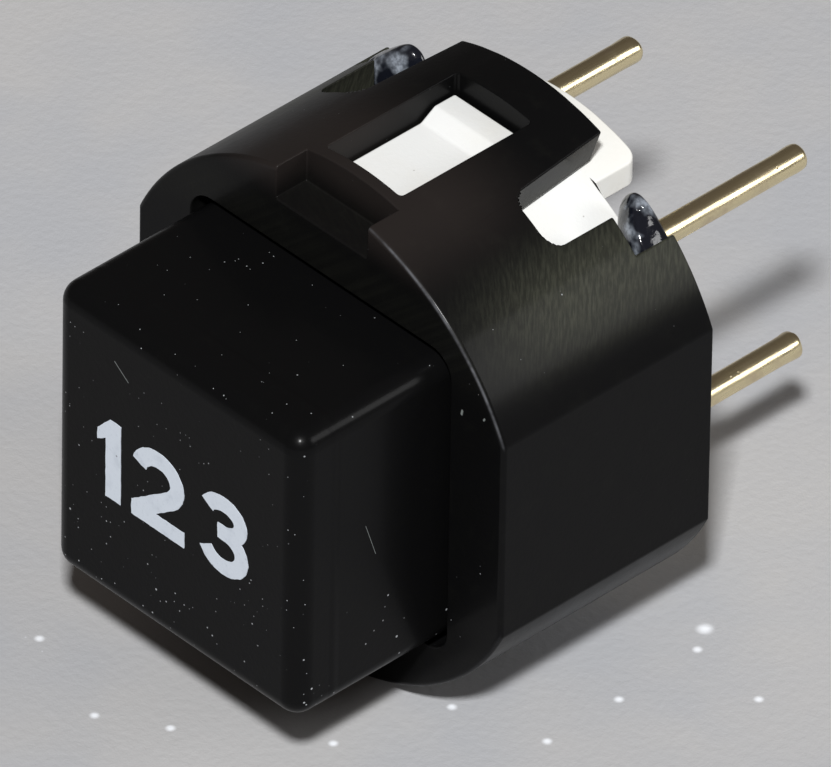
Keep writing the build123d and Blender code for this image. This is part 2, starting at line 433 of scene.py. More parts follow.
class Board(Tree):
    """The node tree of one material."""

    def __init__(self, name: str) -> None:
        self.material = bpy.data.materials.new(name)
        self.material.use_nodes = True
        super().__init__(self.material.node_tree)
        self.tree.nodes.clear()
        metres = self.out("ShaderNodeTexCoord", output="Object")
        centre = (-DATUM.x / MM, -DATUM.y / MM, -DATUM.z / MM)
        self.place = self.mapped(metres, (1 / MM, 1 / MM, 1 / MM), centre)

    def mapped(self, vector: Wire, scale: Place, shift: Place = (0, 0, 0)) -> Wire:
        """Returns a vector scaled and shifted."""
        return self.out("ShaderNodeMapping", None,
                        {"Vector": vector, "Scale": scale, "Location": shift})

    def joined(self, *parts: Value) -> Wire:
        """Returns the vector of three parts."""
        return self.out("ShaderNodeCombineXYZ", None, dict(enumerate(parts)))

    def axes(self, vector: Wire) -> tuple[Wire, ...]:
        """Returns a vector's three parts."""
        made = self.node("ShaderNodeSeparateXYZ", None, {0: vector})
        return tuple(Wire(self, made.outputs[k]) for k in range(3))

    def noise(self, vector: Wire, scale: float, detail: float = 2.0,
              roughness: float = 0.5) -> Wire:
        """Returns noise from 0 to 1, of so many waves to the unit."""
        return self.out("ShaderNodeTexNoise", None, {"Vector": vector, "Scale": scale,
                                                     "Detail": detail, "Roughness": roughness})

    def cells(self, vector: Wire, scale: float) -> tuple[Wire, Wire]:
        """Returns the distance to the nearest of scattered points, and a number of that point."""
        made = self.node("ShaderNodeTexVoronoi", None, {"Vector": vector, "Scale": scale})
        colour = Wire(self, made.outputs["Color"])
        return (Wire(self, made.outputs["Distance"]),
                self.out("ShaderNodeSeparateColor", None, {0: colour}))

    def specks(self, scale: float, size: float, share: float) -> Wire:
        """Returns a mask of small specks of one size, at a share of scattered points."""
        distance, number = self.cells(self.place, scale)
        return (size - distance).rise(0.0, 0.05) * (share - number).rise(0.0, 0.02)

    def blend(self, share: Wire, first: Value, second: Value) -> Wire:
        """Returns a colour between two, by share."""
        pair = [c if isinstance(c, Wire) else (*c, 1.0) for c in (first, second)]
        return self.out("ShaderNodeMix", {"data_type": "RGBA"},
                        {0: share, 6: pair[0], 7: pair[1]}, 2)

    def bump(self, height: Wire, strength: float, distance: float) -> Wire:
        """Returns a normal bent by a height; distance is in metres."""
        return self.out("ShaderNodeBump", None,
                        {"Height": height, "Strength": strength, "Distance": distance})

    def away(self, place: Place) -> Wire:
        """Returns the distance in millimetres from a place."""
        return self.vector("DISTANCE", self.place, place, "Value")

    def along(self, start: Place, end: Place) -> Wire:
        """Returns the distance in millimetres from a straight stroke between two places."""
        run = Vector(end) - Vector(start)
        offset = self.vector("SUBTRACT", self.place, start)
        dot = self.vector("DOT_PRODUCT", offset, tuple(run), "Value")
        share = (dot / run.length_squared).greater(0.0).lesser(1.0)
        foot = self.vector("SCALE", tuple(run), share)
        return self.vector("LENGTH", self.vector("SUBTRACT", offset, foot), None, "Value")

    def surface(self, **sockets: Value) -> bpy.types.Material:
        """Ends the tree in a Principled shader and returns the material."""
        named = {key.replace("_", " ").title().replace("Ior", "IOR"): value
                 for key, value in sockets.items()}
        self.node("ShaderNodeOutputMaterial", None,
                  {0: self.out("ShaderNodeBsdfPrincipled", None, named)})
        return self.material


# Finishes

@dataclass(frozen=True)
class Stroke:
    """A thin stroke between two places, in millimetres about the datum: a hair scratch, and once on
    the cap a painted glint.
    """

    start: Place
    end: Place
    width: float = 0.018


@dataclass(frozen=True)
class BlackMoulding:
    """Black moulded plastic with handling scuffs and dust; on the shell also a painted sheen and a
    painted rim highlight.

    Attributes:
        name: The material's name.
        colour: The plastic's colour.
        haze_and_sheen: The colour of hazy patches, and of the painted sheen on the shell's upper
            shoulders.
        roughness: The plain surface's roughness.
        specular: The strength of its reflection.
        brush_and_sheen_strength: How strongly the brush lines, and the painted sheen along them,
            show.
        dust: The share of dust places that hold a speck.
        sink: The distance from the cap's face of a faint sink line, or 0.
        rim: The radius of the round front rim, which gets a painted highlight along its edge and a
            painted sheen on the barrel's top, or 0.
        reach: How far the cap's face stands in front of the barrel.
        strokes: Hair scratches, and on the cap a painted glint at its top front right corner.
    """

    name: str
    colour: Colour = (0.0036, 0.0036, 0.0038)
    haze_and_sheen: Colour = (0.016, 0.017, 0.012)
    roughness: float = 0.36
    specular: float = 0.05
    brush_and_sheen_strength: float = 0.0
    dust: float = 0.2
    sink: float = 0.0
    rim: float = 0.0
    reach: float = 4.15
    strokes: tuple[Stroke, ...] = ()

    def make(self) -> bpy.types.Material:
        """Builds the material."""
        b = Board(self.name)
        fine = b.noise(b.place, 9.0, 3.0, 0.6)
        broad = b.noise(b.place, 0.55, 3.0)
        cloudy = b.noise(b.place, 2.1, 4.0, 0.6)
        across, length, height = b.axes(b.place)
        around = height * 0.74 - across * 0.67
        strokes = b.joined(around * 2.2 + length * 1.4, length * 12.0 - around * 7.6, 0.0)
        brush = b.noise(strokes, 1.0, 3.0, 0.62)
        shoulder = height.rise(3.0, 4.2) * height.rise(5.5, 4.5) * length.rise(-0.8, 3.4)
        brush_and_sheen = (brush.rise(0.36, 0.70) * 0.55 + 0.45) * shoulder * self.brush_and_sheen_strength
        hazy = cloudy.rise(0.5, 0.78)
        worn = (hazy * 0.18 + brush_and_sheen).lesser(1.0)
        specks = self._dust(b, height)
        # Painted sheen: olive grey laid along the brush lines on the upper shoulders stands in for
        # light reflected there; the hazy patches add only a faint tint.
        colour = b.blend((brush_and_sheen + hazy * 0.03).lesser(1.0), self.colour, self.haze_and_sheen)
        if self.rim:
            rim_highlight = self._rim_highlight_mask(b, cloudy)
            # Painted sheen: the barrel's top towards the front is lightened to brown grey.
            top_sheen = height.rise(5.0, 6.0) * length.rise(4.6, 1.6)
            colour = b.blend(top_sheen * 0.3, colour, (0.050, 0.040, 0.036))
            # Painted highlight along the front rim's edge, broken in patches.
            colour = b.blend(rim_highlight, colour, (0.15, 0.155, 0.17))
        colour = b.blend(specks, colour, (0.46, 0.48, 0.50))
        height_map = fine * 0.5 + cloudy * 0.4 + brush_and_sheen * 1.2 + specks * 1.5
        # Each stroke lightens the colour and dents the surface; most are hair scratches, and one on
        # the cap is a painted glint.
        for stroke in self.strokes:
            scratch_and_glint = b.along(stroke.start, stroke.end).rise(stroke.width, stroke.width * 0.2)
            colour = b.blend(scratch_and_glint * 0.7, colour, (0.30, 0.33, 0.32))
            height_map = height_map - scratch_and_glint
        if self.sink:
            front = (length + (self.reach - self.sink)).absolute()
            height_map = height_map + front.rise(0.16, 0.0) * 1.6
        roughness = self.roughness + (broad - 0.5) * 0.10 + (fine - 0.5) * 0.06 + worn * 0.12
        return b.surface(base_color=colour, roughness=roughness + specks * 0.4,
                         specular_ior_level=self.specular, coat_weight=0.12, coat_roughness=0.16,
                         coat_ior=1.35, normal=b.bump(height_map, 0.35, 0.00002))

    def _rim_highlight_mask(self, b: Board, patches: Wire) -> Wire:
        """Returns a mask of the painted highlight along the round front rim's edge, broken in
        patches and strongest on the upper right.
        """
        across, length, height = b.axes(b.place)
        reach = (across * across + height * height).power(0.5)
        edge = reach.rise(self.rim - 0.08, self.rim - 0.03) * length.rise(0.07, 0.03)
        side = across.rise(0.5, 2.5) * (0.12 + height.rise(2.0, 3.4) * 0.88)
        return edge * (0.3 + patches.rise(0.35, 0.65) * 0.7) * side * 0.7

    def _dust(self, b: Board, height: Wire) -> Wire:
        """Returns a mask of dust specks, thicker low down and in clusters."""
        cluster = b.noise(b.place, 0.8, 3.0).rise(0.35, 0.7)
        share = self.dust * (0.35 + cluster + height.rise(1.5, -3.5) * 0.9)
        masks = []
        for scale, size in ((3.0, 0.13), (7.0, 0.19)):
            distance, number = b.cells(b.mapped(b.place, (1, 1, 1), (scale, 0, 0)), scale)
            chosen = (share - number).rise(0.0, 0.04)
            masks.append((size * (0.5 + number) - distance).rise(0.0, size * 0.4) * chosen)
        return masks[0].greater(masks[1]) * 0.85


@dataclass(frozen=True)
class WhiteMoulding:
    """White moulded plastic, faintly creamy, with a trace of grime."""

    name: str = "white_moulding"
    colour: Colour = (0.82, 0.83, 0.82)
    creamy: Colour = (0.79, 0.78, 0.73)
    roughness: float = 0.42

    def make(self) -> bpy.types.Material:
        """Builds the material."""
        b = Board(self.name)
        fine = b.noise(b.place, 8.0, 3.0, 0.6)
        broad = b.noise(b.place, 0.7, 3.0)
        _, length, _ = b.axes(b.place)
        old = (broad.rise(0.35, 0.75) * 0.5 + length.rise(5.0, 7.2) * 0.45).lesser(1.0)
        grime = b.specks(3.4, 0.10, 0.12) * 0.5
        colour = b.blend(grime, b.blend(old, self.colour, self.creamy), (0.20, 0.18, 0.15))
        return b.surface(base_color=colour, roughness=self.roughness + (fine - 0.5) * 0.12,
                         specular_ior_level=0.45, normal=b.bump(fine + broad, 0.25, 0.00002))


@dataclass(frozen=True)
class PadPrint:
    """Pale blue-white ink, thin in places."""

    name: str = "print_white"
    colour: Colour = (0.66, 0.72, 0.80)
    thin: Colour = (0.40, 0.45, 0.53)
    roughness: float = 0.55

    def make(self) -> bpy.types.Material:
        """Builds the material."""
        b = Board(self.name)
        grain = b.noise(b.place, 11.0, 4.0, 0.65)
        patch = b.noise(b.place, 2.6, 3.0)
        thin = (grain.rise(0.55, 0.8) * 0.45 + patch.rise(0.5, 0.85) * 0.4).lesser(1.0)
        ink = b.blend(thin, self.colour, self.thin)
        colour = b.blend(b.specks(5.0, 0.16, 0.10) * 0.6, ink, (0.05, 0.05, 0.07))
        return b.surface(base_color=colour, roughness=self.roughness + (grain - 0.5) * 0.2,
                         specular_ior_level=0.35, normal=b.bump(grain, 0.4, 0.00001))


@dataclass(frozen=True)
class DrawnMetal:
    """Drawn or stamped metal with streaks along its length.

    Attributes:
        name: The material's name.
        colour: The clean metal.
        tarnish: The colour of its duller patches.
        roughness: The clean metal's roughness.
        streak: The stretch of the streaks, as waves to the millimetre in X, Y and Z.
    """

    name: str
    colour: Colour
    tarnish: Colour
    roughness: float = 0.28
    streak: tuple[float, float, float] = (9.0, 0.5, 9.0)

    def make(self) -> bpy.types.Material:
        """Builds the material."""
        b = Board(self.name)
        streaks = b.noise(b.mapped(b.place, self.streak), 1.0, 3.0, 0.6)
        patches = b.noise(b.place, 1.6, 4.0, 0.6)
        dull = (patches.rise(0.42, 0.72) * 0.6 + streaks.rise(0.5, 0.85) * 0.35).lesser(1.0)
        nick = b.specks(3.0, 0.12, 0.22)
        colour = b.blend(dull, self.colour, self.tarnish)
        roughness = self.roughness + dull * 0.16 + (streaks - 0.5) * 0.12
        return b.surface(base_color=colour, metallic=1.0, roughness=roughness,
                         normal=b.bump(streaks - nick * 0.8, 0.35, 0.00002))


@dataclass(frozen=True)
class MeltedPlastic:
    """Glossy black plastic that has run where a hot tool pressed it, with pale blotches painted as
    highlights.
    """

    name: str = "melted_black"
    colour: Colour = (0.006, 0.007, 0.011)
    highlight_colour: Colour = (0.36, 0.40, 0.46)

    def make(self) -> bpy.types.Material:
        """Builds the material."""
        b = Board(self.name)
        blotch = b.noise(b.place, 2.1, 2.0, 0.45)
        fine = b.noise(b.place, 9.0, 2.0, 0.5)
        # Painted highlights: pale blue-grey blotches, placed by noise, stand in for light on the
        # glossy lumps.
        highlight_blotches = blotch.rise(0.50, 0.74) * (0.30 + fine.rise(0.3, 0.7) * 0.5)
        colour = b.blend(highlight_blotches, self.colour, self.highlight_colour)
        return b.surface(base_color=colour, roughness=0.10 + highlight_blotches * 0.2, specular_ior_level=0.6,
                         normal=b.bump(blotch * 1.5 + fine * 0.3, 0.4, 0.00004))


@dataclass(frozen=True)
class PaleSheet:
    """The pale grey sheet that the object lies on, with fine sparkles and a few larger glints
    painted into its colour.
    """

    name: str = "pale_sheet"
    colour: Colour = (0.462, 0.460, 0.463)
    cool: Colour = (0.412, 0.424, 0.450)
    glints: tuple[Point, ...] = (
        (5.2, 6.5), (5.6, 5.9), (0.0, -4.2), (2.7, -2.0), (3.5, 0.7),
        (5.7, 1.4), (5.7, 3.5), (-1.4, -5.1), (7.7, 5.7), (-4.1, -4.2))

    def make(self) -> bpy.types.Material:
        """Builds the material."""
        b = Board(self.name)
        cloud = b.noise(b.place, 0.16, 3.0, 0.55)
        grain = b.noise(b.place, 4.5, 4.0, 0.6)
        colour = b.blend(cloud.rise(0.35, 0.68) * 0.8, self.colour, self.cool)
        _, length, _ = b.axes(b.place)
        # Painted sparkles, thicker towards the front.
        distance, number = b.cells(b.place, 1.6)
        share = 0.05 + length.rise(4.0, -9.0) * 0.24
        chosen = (share - number).rise(0.0, 0.02)
        painted_sparkle = (number * 0.30 + 0.05 - distance).rise(0.0, 0.07) * chosen
        colour = b.blend(painted_sparkle * 0.7, colour, (0.86, 0.89, 0.95))
        level = (CAD_BOUNDS[0].z - DATUM.z) / MM
        # Painted glints at listed places, the first one larger.
        for k, (x, y) in enumerate(self.glints):
            painted_glint = b.away((x, y, level)).rise(0.15 if k else 0.26, 0.02)
            colour = b.blend(painted_glint * 0.9, colour, (0.92, 0.95, 1.0))
        return b.surface(base_color=colour, roughness=0.62 + (grain - 0.5) * 0.15,
                         specular_ior_level=0.25, normal=b.bump(grain, 0.25, 0.00008))


# Geometry Nodes

class Graph(Tree):
    """One Geometry Nodes tree with named inputs."""

    def __init__(self, name: str, inputs: dict[str, float]) -> None:
        super().__init__(bpy.data.node_groups.new(name, "GeometryNodeTree"))
        self.inputs, self.keys = inputs, {}
        sockets = self.tree.interface
        for way in ("INPUT", "OUTPUT"):
            sockets.new_socket("Geometry", in_out=way, socket_type="NodeSocketGeometry")
        for key, value in inputs.items():
            made = sockets.new_socket(key, in_out="INPUT", socket_type="NodeSocketFloat")
            made.default_value = value
            self.keys[key] = made.identifier
        self.entry = self.tree.nodes.new("NodeGroupInput")
        self.mesh_in = Wire(self, self.entry.outputs[0])

    def value(self, name: str) -> Wire:
        """Returns a named input inside the tree."""
        return Wire(self, self.entry.outputs[name])

    def join(self, *parts: Wire) -> Wire:
        """Joins geometry."""
        both = self.node("GeometryNodeJoinGeometry")
        for part in parts:
            self.tree.links.new(part.socket, both.inputs[0])
        return Wire(self, both.outputs[0])

    def move(self, geometry: Wire, offset: Wire) -> Wire:
        """Moves each point by an offset."""
        return self.out("GeometryNodeSetPosition", None, {"Geometry": geometry, "Offset": offset})

    def finish(self, geometry: Wire, material: bpy.types.Material) -> None:
        """Ends the tree in smooth shading, Realize Instances and Set Material."""
        smooth = self.out("GeometryNodeSetShadeSmooth", None, {"Geometry": geometry})
        real = self.out("GeometryNodeRealizeInstances", None, {"Geometry": smooth})
        dressed = self.out("GeometryNodeSetMaterial", None,
                           {"Geometry": real, "Material": material})
        self.node("NodeGroupOutput", None, {0: dressed})

    def run(self, blank: Blank) -> None:
        """Puts the tree on a blank with its inputs set, and turns the result into a mesh."""
        modifier = blank.obj.modifiers.new(self.tree.name, "NODES")
        modifier.node_group = self.tree
        for name, value in self.inputs.items():
            modifier[self.keys[name]] = value
        blank.apply()


# Sub-assemblies

@dataclass
class HousingShell:
    """The black barrel: a moulded cup with a square opening, latch windows and slots."""

    wall: float = 1.0
    front_wall: float = 1.0
    front_edge: float = 0.12
    opening: float = 8.0
    opening_corner: float = 0.6
    notch_width: float = 2.8
    notch_depth: float = 0.9
    window: tuple[float, float, float] = (2.3, 1.2, 5.0)
    slot: tuple[float, float, float] = (2.4, 3.65, 3.25)
    slot_corner: float = 0.35
    tab_narrowing: float = 0.10
    tab_lean: float = 0.34
    recess_depth: float = 1.1
    recess_angle: float = 9.0
    edge: float = 0.045
    arc_steps: int = 84

    def build(self, finish: bpy.types.Material) -> bpy.types.Object:
        """Cuts the shell from a solid barrel and settles it."""
        low, high = DATUM.box("housing_shell")
        self.radius, self.half_flat, self.length = high.z, high.x, high.y
        barrel = self._barrel()
        barrel.use(Join.CUT, *self._hollows(low.z))
        barrel.use(Join.CUT, self._window(), *self._slots(), *self._recesses())
        barrel.tidy().round_edges(self.edge).shade()
        piece = Piece("shell_barrel", Body.HOUSING, "shell_black", finish, ("housing_shell",))
        return piece.settle(barrel)

    def _crossings(self) -> list[float]:
        """The distances from the middle at which cuts cross the barrel's arcs."""
        seat = self.radius * math.cos(math.acos(self.slot[1] / self.radius)
                                      - math.radians(self.recess_angle))
        return [self.window[0] / 2, self.notch_width / 2, self.slot[0], self.slot[1], seat]

    def _barrel(self) -> Blank:
        """The solid barrel with its rounded front edge."""
        rings = []
        for k in range(7):
            angle = math.pi / 2 * k / 6
            inset = self.front_edge * (1 - math.sin(angle))
            depth = self.front_edge * (1 - math.cos(angle))
            outline = flatted_disc(self.radius, self.half_flat, self.arc_steps,
                                   self._crossings(), inset)
            rings.append([(x, depth, z) for x, z in outline])
        rings.append([(x, self.length, z) for x, _, z in rings[-1]])
        return Blank.lofted("barrel", rings)

    def _hollows(self, land: float) -> list[Blank]:
        """The hollow, the opening, the notch at the top of the rim and the flat underneath."""
        inner, rear = self.radius - self.wall, self.length + 1
        bore = flatted_disc(inner, self.half_flat - self.wall, self.arc_steps,
                            self._crossings()[:4])
        opening = rounded_box(self.opening, self.opening, self.opening_corner, 8)
        notch = rounded_box(self.notch_width, 2 * self.wall, 0.03, 2, (0, inner + self.wall))
        flat = rounded_box(2 * self.radius, 1.0, 0.1, 1, (0, land - 0.5))
        shapes = {"cavity": (bore, self.front_wall, rear),
                  "opening": (opening, -1, self.front_wall),
                  "notch": (notch, -1, self.notch_depth), "land": (flat, -1, rear)}
        return [Blank.drawn(name, *shape) for name, shape in shapes.items()]

    def _window(self) -> Blank:
        """The latch windows, cut through top and bottom at once."""
        width, front, rear = self.window
        outline = rounded_box(width, rear - front, 0.1, 3, (0, (front + rear) / 2))
        return Blank.drawn("window", outline, -2 * self.radius, 2 * self.radius, Axis.UPRIGHT)

    def _slots(self) -> list[Blank]:
        """The four slots. The wall on the tab's side leans to the axis and narrows to the rear."""
        inner, outer, front = self.slot
        length = 2 * self.length
        outline = rounded_box(outer - inner, length, self.slot_corner, 6,
                              ((inner + outer) / 2, front + length / 2))
        surface = math.sqrt(self.radius ** 2 - inner ** 2)
        tools = []
        for across in (False, True):
            for down in (False, True):
                rings = []
                for height in (0.5 * self.radius, 1.3 * self.radius):
                    ring = []
                    for x, y in outline:
                        share = min(1.0, max(0.0, (outer - x) / (outer - inner)))
                        x += share * ((height - surface) * self.tab_lean
                                      - (y - front) * self.tab_narrowing)
                        ring.append((-x if across else x, y, -height if down else height))
                    rings.append(ring)
                tools.append(Blank.lofted("slot", rings))
        return tools

    def _recesses(self) -> list[Blank]:
        """The four low stretches of the rear rim beside the slots."""
        low = math.acos(self.slot[1] / self.radius) - math.radians(self.recess_angle)
        inside, reach = self.slot[1] - 0.3, 3 * self.radius
        outline = [(inside, inside * math.tan(low)), (reach * math.cos(low), reach * math.sin(low)),
                   (inside, reach)]
        front = self.length - self.recess_depth
        return [Blank.drawn("recess", mirrored(outline, across, down), front, self.length + 1)
                for across in (False, True) for down in (False, True)]


@dataclass
class MeltedStakes:
    """The four lumps left of melted stakes, leaning over the low stretches of the rim."""

    span: float = 1.0
    tall: float = 0.92
    thick: float = 0.92
    middle_angle: float = 47.6
    root: float = 5.26
    lift: float = 5.17
    lump: float = 0.045
    lump_scale: float = 1.7
    pit: float = 0.09
    pit_scale: float = 1.9
    seed: float = 3.7
    level: int = 4

    def build(self, finish: bpy.types.Material) -> bpy.types.Object:
        """Models one lump, and repeats it in both mirror planes with its own bumps each."""
        blank = self._lump()
        self._repeat(blank, finish)
        piece = Piece("melted_stakes", Body.HOUSING, "shell_black", finish)
        return piece.settle(blank)

    def _lump(self) -> Blank:
        """One leaning fin with a pointed, rolled top, as it leaves the mould of the hot tool."""
        s, t = self.span, self.tall
        outline = [(-0.78 * s, 0.10 * t), (-0.25 * s, -0.04 * t), (0.22 * s, 0.10 * t),
                   (0.80 * s, 0.50 * t), (1.07 * s, 0.92 * t), (0.60 * s, 1.02 * t),
                   (-0.25 * s, 1.04 * t), (-0.80 * s, 0.94 * t)]
        angle = math.radians(self.middle_angle)
        out = Vector((math.cos(angle), 0, math.sin(angle)))
        along = Vector((-math.sin(angle), 0, math.cos(angle)))
        rings = []
        for share, shrink in ((0.0, 0.62), (0.12, 0.90), (0.5, 1.0), (0.86, 0.90), (1.0, 0.58)):
            depth = out * (self.root + share * self.thick)
            rings.append([depth + along * a * shrink
                          + Vector((0, self.lift + (b - t / 2) * shrink + t / 2, 0))
                          for a, b in outline])
        return Blank.lofted("lump", [[tuple(p) for p in ring] for ring in rings])

    def _repeat(self, blank: Blank, finish: bpy.types.Material) -> None:
        """Runs the node tree that mirrors, subdivides and roughens the lump."""
        graph = Graph("repeat_stakes", {"Bump Height": self.lump, "Bump Size": self.lump_scale,
                                        "Pit Depth": self.pit, "Seed": self.seed})
        one, seed = graph.mesh_in, graph.value("Seed")
        for scale in ((-1, 1, 1), (1, 1, -1)):
            turned = graph.out("GeometryNodeTransform", None, {"Geometry": one, "Scale": scale})
            one = graph.join(graph.out("GeometryNodeFlipFaces", None, {0: turned}), one)
        smooth = graph.out("GeometryNodeSubdivisionSurface", None,
                           {"Mesh": one, "Level": self.level})
        texture = graph.out("ShaderNodeTexNoise", {"noise_dimensions": "4D"},
                            {"Scale": graph.value("Bump Size"), "W": seed, "Detail": 2.0})
        bubbles = graph.out("ShaderNodeTexVoronoi", {"voronoi_dimensions": "4D"},
                            {"Scale": self.pit_scale, "W": seed}, "Distance")
        dent = (bubbles.rise(0.20, 0.36) - 1.0) * graph.value("Pit Depth")
        rough = (texture - 0.5) * graph.value("Bump Height") + dent
        offset = graph.vector("SCALE", graph.out("GeometryNodeInputNormal"), rough)
        graph.finish(graph.move(smooth, offset), finish)
        graph.run(blank)


@dataclass
class KeyCap:
    """The square black cap, hollow behind its face."""

    edge_radius: float = 0.5
    face_wall: float = 1.0
    side_wall: float = 0.8
    inner_radius: float = 0.5
    edge_steps: int = 8

    def build(self, finish: bpy.types.Material) -> bpy.types.Object:
        """Lofts the cap over its rounded edges, hollows it and settles it."""
        low, high = DATUM.box("keycap")
        width = high.x - low.x
        rings = []
        for k in range(self.edge_steps + 1):
            angle = math.pi / 2 * k / self.edge_steps
            side = width - 2 * self.edge_radius * (1 - math.sin(angle))
            outline = rounded_box(side, side, self.edge_radius * math.sin(angle), self.edge_steps)
            depth = low.y + self.edge_radius * (1 - math.cos(angle))
            rings.append([(x, depth, z) for x, z in outline])
        rings.append([(x, high.y, z) for x, _, z in rings[-1]])
        cap = Blank.lofted("cap", rings)
        inner = width - 2 * self.side_wall
        hollow = rounded_box(inner, inner, self.inner_radius, 5)
        cap.use(Join.CUT, Blank.drawn("hollow", hollow, low.y + self.face_wall, high.y + 1))
        cap.tidy(flat=0.1).round_edges(0.04, angle=40).shade()
        return Piece("cap_square", Body.BUTTON, "cap_black", finish, ("keycap",)).settle(cap)


@dataclass
class Legend:
    """Plain digits in pad print on the cap's face."""

    stroke: float = 0.43
    top: float = 1.05
    thickness: float = 0.014
    middle: float = 0.05
    ragged: float = 0.016
    steps: int = 22

    def build(self, finish: bpy.types.Material) -> bpy.types.Object:
        """Draws each digit from its strokes and settles them as one piece."""
        face = DATUM.box("keycap")[0].y
        shapes = [*self._one(-1.66), *self._two(-0.50), *self._three(1.52)]
        parts = [Blank.drawn("stroke", [(x, z + self.middle) for x, z in outline],
                             face - self.thickness, face + 0.02) for outline in shapes]
        print_ink = parts[0].use(Join.ADD, *parts[1:])
        self._fray(print_ink)
        return Piece("cap_digits", Body.BUTTON, "cap_black", finish).settle(print_ink)

    def _one(self, right: float) -> list[list[Point]]:
        """The outlines of a figure one whose stem ends at right."""
        left, top = right - self.stroke * 1.08, self.top
        return [[(left, -top), (right, -top), (right, top), (right - 0.34, top),
                 (left - 0.26, top - 0.40), (left - 0.26, top - 0.72), (left, top - 0.56)]]

    def _two(self, middle: float) -> list[list[Point]]:
        """The outlines of a figure two about a middle."""
        reach, drop = 0.80 - self.stroke / 2, 0.50
        centre = self.top - self.stroke / 2 - drop
        bow = [(middle + x * reach, centre + z * drop)
               for x, z in arc((0, 0), 1.0, 168, -48, self.steps)]
        left, right = middle - 0.82, middle + 0.82
        foot = (left + 0.14, -self.top + self.stroke * 0.52)
        half_way = tuple((a + b) / 2 for a, b in zip(bow[-1], foot))
        base = [(left, -self.top), (right, -self.top), (right, -self.top + self.stroke * 0.94),
                (left, -self.top + self.stroke * 0.94)]
        return [ribbon([*bow, half_way, foot], self.stroke), base]

    def _three(self, middle: float) -> list[list[Point]]:
        """The outlines of a figure three about a middle."""
        reach = 0.78 - self.stroke / 2
        waist = 0.07
        upper = (self.top - self.stroke / 2 - waist) / 2
        lower = (waist + self.top - self.stroke / 2) / 2
        high = [(middle + x * reach * 0.93, waist + upper + z * upper)
                for x, z in arc((0, 0), 1.0, 160, -90, self.steps)]
        low = [(middle + x * reach, waist - lower + z * lower)
               for x, z in arc((0, 0), 1.0, 90, -162, self.steps)]
        start = (middle - 0.18, waist)
        return [ribbon(line, self.stroke * 0.94) for line in ([*high, start], [start, *low])]

    def _fray(self, blank: Blank) -> None:
        """Gives the print's outline a slightly ragged edge."""
        shape = opened(blank.obj.data, 0.003, 1.0)
        for _ in range(4):
            long_edges = [e for e in shape.edges if e.calc_length() > 0.07]
            bmesh.ops.subdivide_edges(shape, edges=long_edges, cuts=1)
        for vert in shape.verts:
            place = Vector((vert.co.x * 7, 0.0, vert.co.z * 7))
            vert.co.x += self.ragged * noise.noise(place)
            vert.co.z += self.ragged * noise.noise(place + Vector((9.1, 4.3, 2.2)))
        closed(shape, blank.obj.data)


